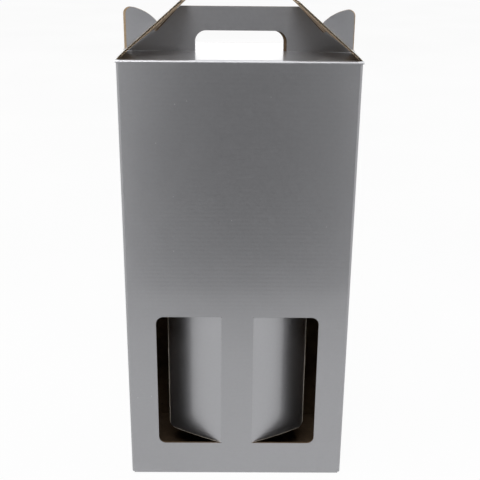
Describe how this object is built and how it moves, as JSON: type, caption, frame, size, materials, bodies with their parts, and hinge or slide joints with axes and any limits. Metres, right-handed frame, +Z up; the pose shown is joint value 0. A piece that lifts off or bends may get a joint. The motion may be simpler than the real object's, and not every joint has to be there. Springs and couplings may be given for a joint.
{
  "type": "wine gift box",
  "caption": "Tall carton for two bottles, folded from silver corrugated board, with a raised handle locked by side flaps and windows with folded-in flaps.",
  "frame": {"origin": "middle of the base, on the surface the box stands on", "axes": "+Z up, the windows face -Y, +X to the right as the windows are seen"},
  "size_m": [0.1812, 0.09, 0.3975],
  "materials": {
    "silver_print": "satin silver print",
    "flute_paper": "raw",
    "kraft_liner": "raw"
  },
  "bodies": {
    "box": {"front_panel_outer_liner": "silver_print", "front_panel_flutes": "flute_paper", "front_panel_inner_liner": "kraft_liner", "back_panel_outer_liner": "silver_print", "back_panel_flutes": "flute_paper", "back_panel_inner_liner": "kraft_liner", "left_panel_outer_liner": "silver_print", "left_panel_flutes": "flute_paper", "left_panel_inner_liner": "kraft_liner", "right_panel_outer_liner": "silver_print", "right_panel_flutes": "flute_paper", "right_panel_inner_liner": "kraft_liner", "glue_flap_outer_liner": "silver_print", "glue_flap_flutes": "flute_paper", "glue_flap_inner_liner": "kraft_liner", "base_front_flap_outer_liner": "silver_print", "base_front_flap_flutes": "flute_paper", "base_front_flap_inner_liner": "kraft_liner", "base_back_flap_outer_liner": "silver_print", "base_back_flap_flutes": "flute_paper", "base_back_flap_inner_liner": "kraft_liner", "base_left_flap_outer_liner": "silver_print", "base_left_flap_flutes": "flute_paper", "base_left_flap_inner_liner": "kraft_liner", "base_right_flap_outer_liner": "silver_print", "base_right_flap_flutes": "flute_paper", "base_right_flap_inner_liner": "kraft_liner", "front_roof_outer_liner": "silver_print", "front_roof_flutes": "flute_paper", "front_roof_inner_liner": "kraft_liner", "back_roof_outer_liner": "silver_print", "back_roof_flutes": "flute_paper", "back_roof_inner_liner": "kraft_liner"},
    "front_handle": {"front_handle_outer_liner": "silver_print", "front_handle_flutes": "flute_paper", "front_handle_inner_liner": "kraft_liner"},
    "back_handle": {"back_handle_outer_liner": "silver_print", "back_handle_flutes": "flute_paper", "back_handle_inner_liner": "kraft_liner"},
    "left_top_flap": {"left_top_flap_outer_liner": "silver_print", "left_top_flap_flutes": "flute_paper", "left_top_flap_inner_liner": "kraft_liner"},
    "right_top_flap": {"right_top_flap_outer_liner": "silver_print", "right_top_flap_flutes": "flute_paper", "right_top_flap_inner_liner": "kraft_liner"},
    "left_window_flap": {"left_window_flap_outer_liner": "silver_print", "left_window_flap_flutes": "flute_paper", "left_window_flap_inner_liner": "kraft_liner"},
    "right_window_flap": {"right_window_flap_outer_liner": "silver_print", "right_window_flap_flutes": "flute_paper", "right_window_flap_inner_liner": "kraft_liner"}
  },
  "joints": [
    {"name": "left_top_flap_fold", "type": "hinge", "parent": "box", "child": "left_top_flap", "pos_m": [-0.09, 0, 0.356], "axis": [0, -1, 0], "range_deg": [0, 220]},
    {"name": "right_top_flap_fold", "type": "hinge", "parent": "box", "child": "right_top_flap", "pos_m": [0.09, 0, 0.356], "axis": [0, 1, 0], "range_deg": [0, 220]},
    {"name": "left_window_flap_crease", "type": "hinge", "parent": "box", "child": "left_window_flap", "pos_m": [-0.013, -0.045, 0.0905], "axis": [0, 0, -1], "range_deg": [-25, 60]},
    {"name": "right_window_flap_crease", "type": "hinge", "parent": "box", "child": "right_window_flap", "pos_m": [0.013, -0.045, 0.0905], "axis": [0, 0, 1], "range_deg": [-25, 60]},
    {"name": "front_handle_crease", "type": "hinge", "parent": "box", "child": "front_handle", "pos_m": [0, -0.00175, 0.356], "axis": [1, 0, 0], "range_deg": [0, 4]},
    {"name": "back_handle_crease", "type": "hinge", "parent": "box", "child": "back_handle", "pos_m": [0, 0.00175, 0.356], "axis": [-1, 0, 0], "range_deg": [0, 4]}
  ]
}
